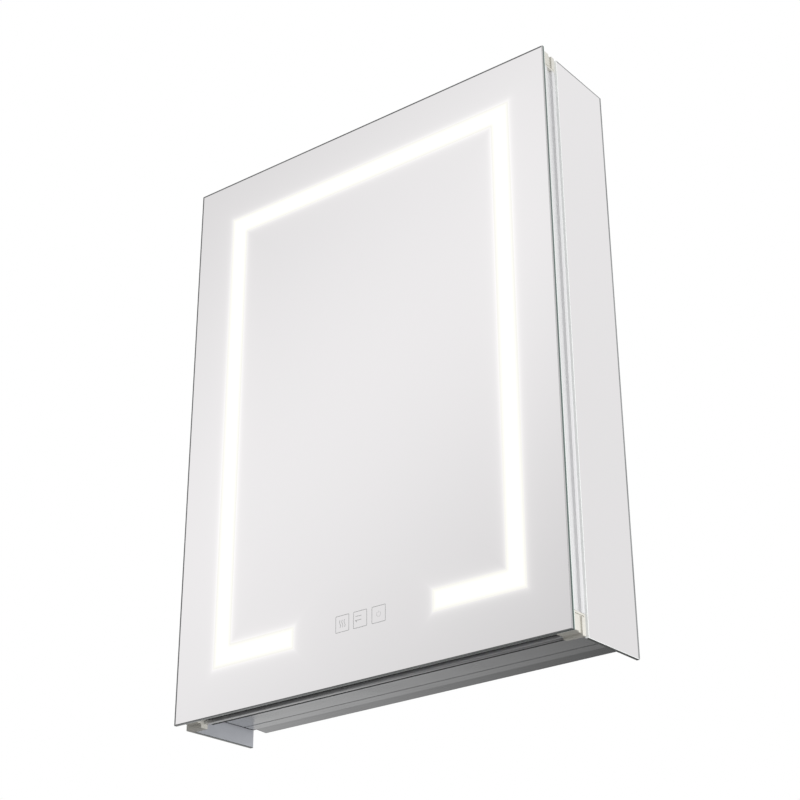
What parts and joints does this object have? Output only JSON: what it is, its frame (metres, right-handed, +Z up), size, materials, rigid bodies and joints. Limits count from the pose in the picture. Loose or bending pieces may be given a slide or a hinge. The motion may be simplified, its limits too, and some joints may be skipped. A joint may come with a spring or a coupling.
{
  "type": "medicine cabinet with lit mirror",
  "caption": "Wall-hung bathroom cabinet with a lit mirror door on concealed hinges, mirrored outer sides, glass shelves and a hook-on wall rail.",
  "frame": {"origin": "middle of the wall rail's back face, on the wall, 576.5 mm above the lower edge of the door glass", "axes": "+X to the right of a person facing the closed door, +Y out of the back into the wall, +Z up; the door faces -Y and is hinged on the -X side"},
  "size_m": [0.508, 0.135, 0.666],
  "materials": {
    "door_mirror": "silvered glass with a sand-blasted lit band",
    "side_mirror": "silvered glass with polished edges",
    "inner_mirror": "silvered glass",
    "shelf_glass": "clear, polished edges",
    "anodised_aluminium": "satin anodised extrusion",
    "white_sheet": "white powder coat",
    "driver_case": "matt",
    "opal_acrylic": "opal, lit from behind",
    "circuit_board": "white solder mask",
    "heating_film": "printed film",
    "beige_plastic": "fine moulded texture",
    "nickel_steel": "nickel plated",
    "zinc_steel": "zinc plated",
    "black_rubber": "matt",
    "clear_bumper": "soft clear"
  },
  "bodies": {
    "cabinet": {"back_mirror": "inner_mirror", "back_panel": "white_sheet", "body_bottom": "anodised_aluminium", "body_side_left": "anodised_aluminium", "body_side_right": "anodised_aluminium", "body_top": "anodised_aluminium", "cable_gland": "black_rubber", "corner_bracket_bottom_left": "zinc_steel", "corner_bracket_bottom_right": "zinc_steel", "corner_bracket_top_left": "zinc_steel", "corner_bracket_top_right": "zinc_steel", "driver_cover": "white_sheet", "hanging_rail": "zinc_steel", "hinge_arm_lower": "nickel_steel", "hinge_arm_upper": "nickel_steel", "hinge_plate_lower": "nickel_steel", "hinge_plate_upper": "nickel_steel", "hinge_screw_lower_high": "zinc_steel", "hinge_screw_lower_low": "zinc_steel", "hinge_screw_upper_high": "zinc_steel", "hinge_screw_upper_low": "zinc_steel", "led_driver": "driver_case", "rail_screw_left": "zinc_steel", "rail_screw_right": "zinc_steel", "shelf_lower": "shelf_glass", "shelf_pin_lower_front_left": "nickel_steel", "shelf_pin_lower_front_right": "nickel_steel", "shelf_pin_lower_rear_left": "nickel_steel", "shelf_pin_lower_rear_right": "nickel_steel", "shelf_pin_upper_front_left": "nickel_steel", "shelf_pin_upper_front_right": "nickel_steel", "shelf_pin_upper_rear_left": "nickel_steel", "shelf_pin_upper_rear_right": "nickel_steel", "shelf_upper": "shelf_glass", "side_mirror_left": "side_mirror", "side_mirror_right": "side_mirror", "wall_rail": "zinc_steel"},
    "door": {"bumper_lower": "clear_bumper", "bumper_upper": "clear_bumper", "defogger_pad": "heating_film", "door_backing": "white_sheet", "door_corner_bottom_left": "beige_plastic", "door_corner_bottom_right": "beige_plastic", "door_corner_top_left": "beige_plastic", "door_corner_top_right": "beige_plastic", "door_frame_bottom": "anodised_aluminium", "door_frame_left": "anodised_aluminium", "door_frame_right": "anodised_aluminium", "door_frame_top": "anodised_aluminium", "door_glass": "door_mirror", "door_inner_mirror": "inner_mirror", "hinge_cup_lower": "nickel_steel", "hinge_cup_upper": "nickel_steel", "hinge_pin_lower": "nickel_steel", "hinge_pin_upper": "nickel_steel", "led_strip": "circuit_board", "light_diffuser": "opal_acrylic", "touch_board": "circuit_board"}
  },
  "joints": [
    {"name": "door_hinge", "type": "hinge", "parent": "cabinet", "child": "door", "pos_m": [-0.2445, -0.1215, 0], "axis": [0, 0, -1], "range_deg": [0, 105]}
  ]
}
